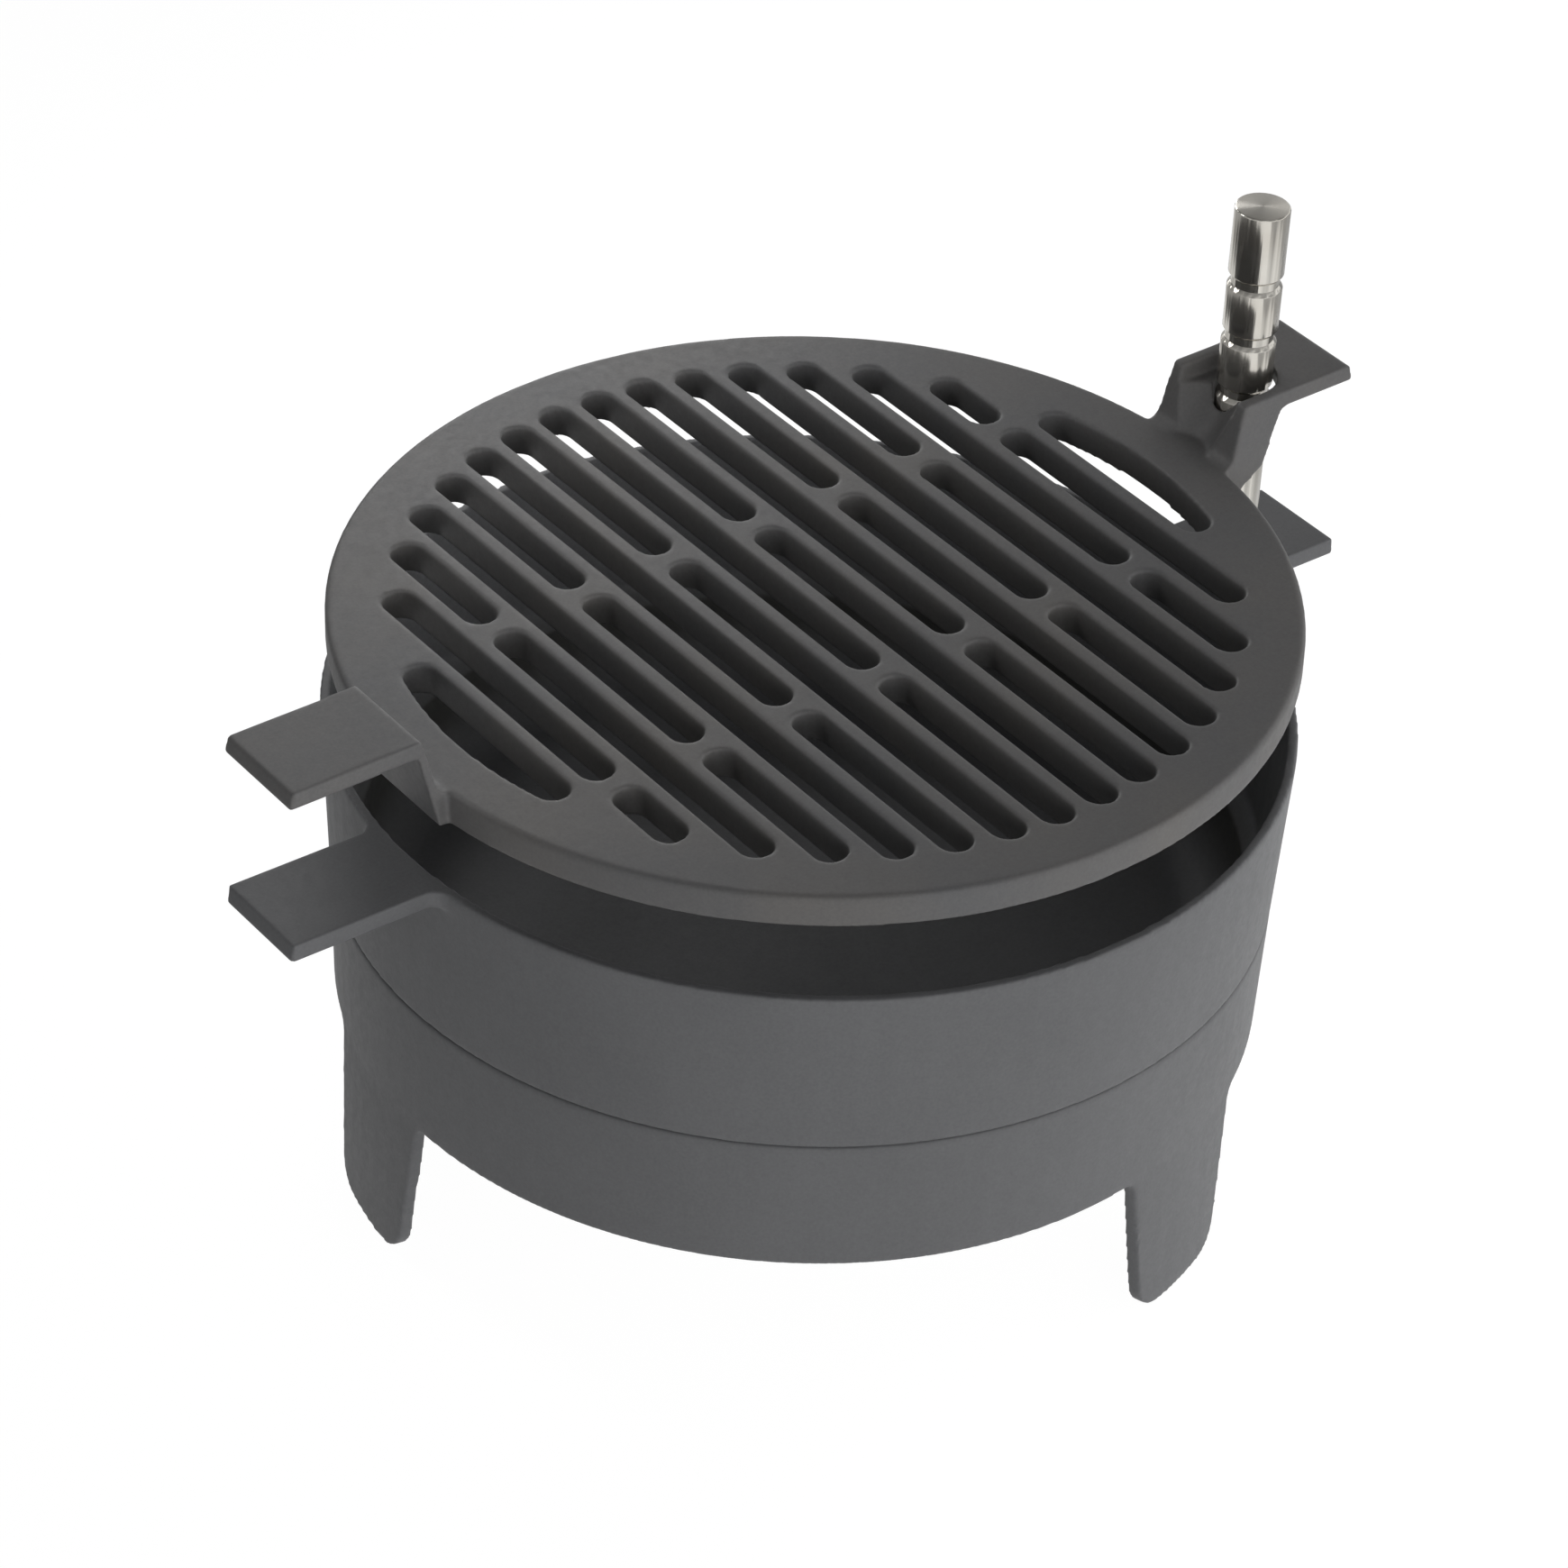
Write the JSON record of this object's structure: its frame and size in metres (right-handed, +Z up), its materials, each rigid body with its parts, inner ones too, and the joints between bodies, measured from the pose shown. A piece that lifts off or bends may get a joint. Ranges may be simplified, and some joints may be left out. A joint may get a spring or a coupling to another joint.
{
  "type": "tabletop charcoal grill",
  "caption": "Round cast iron tabletop grill: footed ring stand, fire bowl with tab handles, and a slotted cooking grate on a grooved steel rod.",
  "frame": {"origin": "on the table, under the middle of the bowl and of the four handles", "axes": "+X towards the rod, +Z up along the bowl's axis"},
  "size_m": [0.4528, 0.3396, 0.3167],
  "materials": {
    "iron_stand": "matt dark grey enamel on cast iron",
    "iron_bowl": "matt dark grey enamel on cast iron",
    "iron_grate": "matt dark grey enamel on cast iron",
    "rod_steel": "polished stainless steel"
  },
  "bodies": {
    "stand": {"stand": "iron_stand"},
    "bowl": {"fire_bowl": "iron_bowl"},
    "rod": {"height_rod": "rod_steel", "rod_washer": "rod_steel", "rod_screw": "rod_steel"},
    "grate": {"cooking_grate": "iron_grate"}
  },
  "joints": [
    {"name": "bowl_lift", "type": "slide", "parent": "stand", "child": "bowl", "axis": [0, 0, 1], "range_m": [0, 0.06]},
    {"name": "rod_swivel", "type": "hinge", "parent": "bowl", "child": "rod", "pos_m": [0.19104, 0, 0.1755], "axis": [0, 0, 1], "range_deg": [-90, 90]},
    {"name": "grate_slide", "type": "slide", "parent": "rod", "child": "grate", "axis": [0, 0, 1], "range_m": [0, 0.045]}
  ]
}
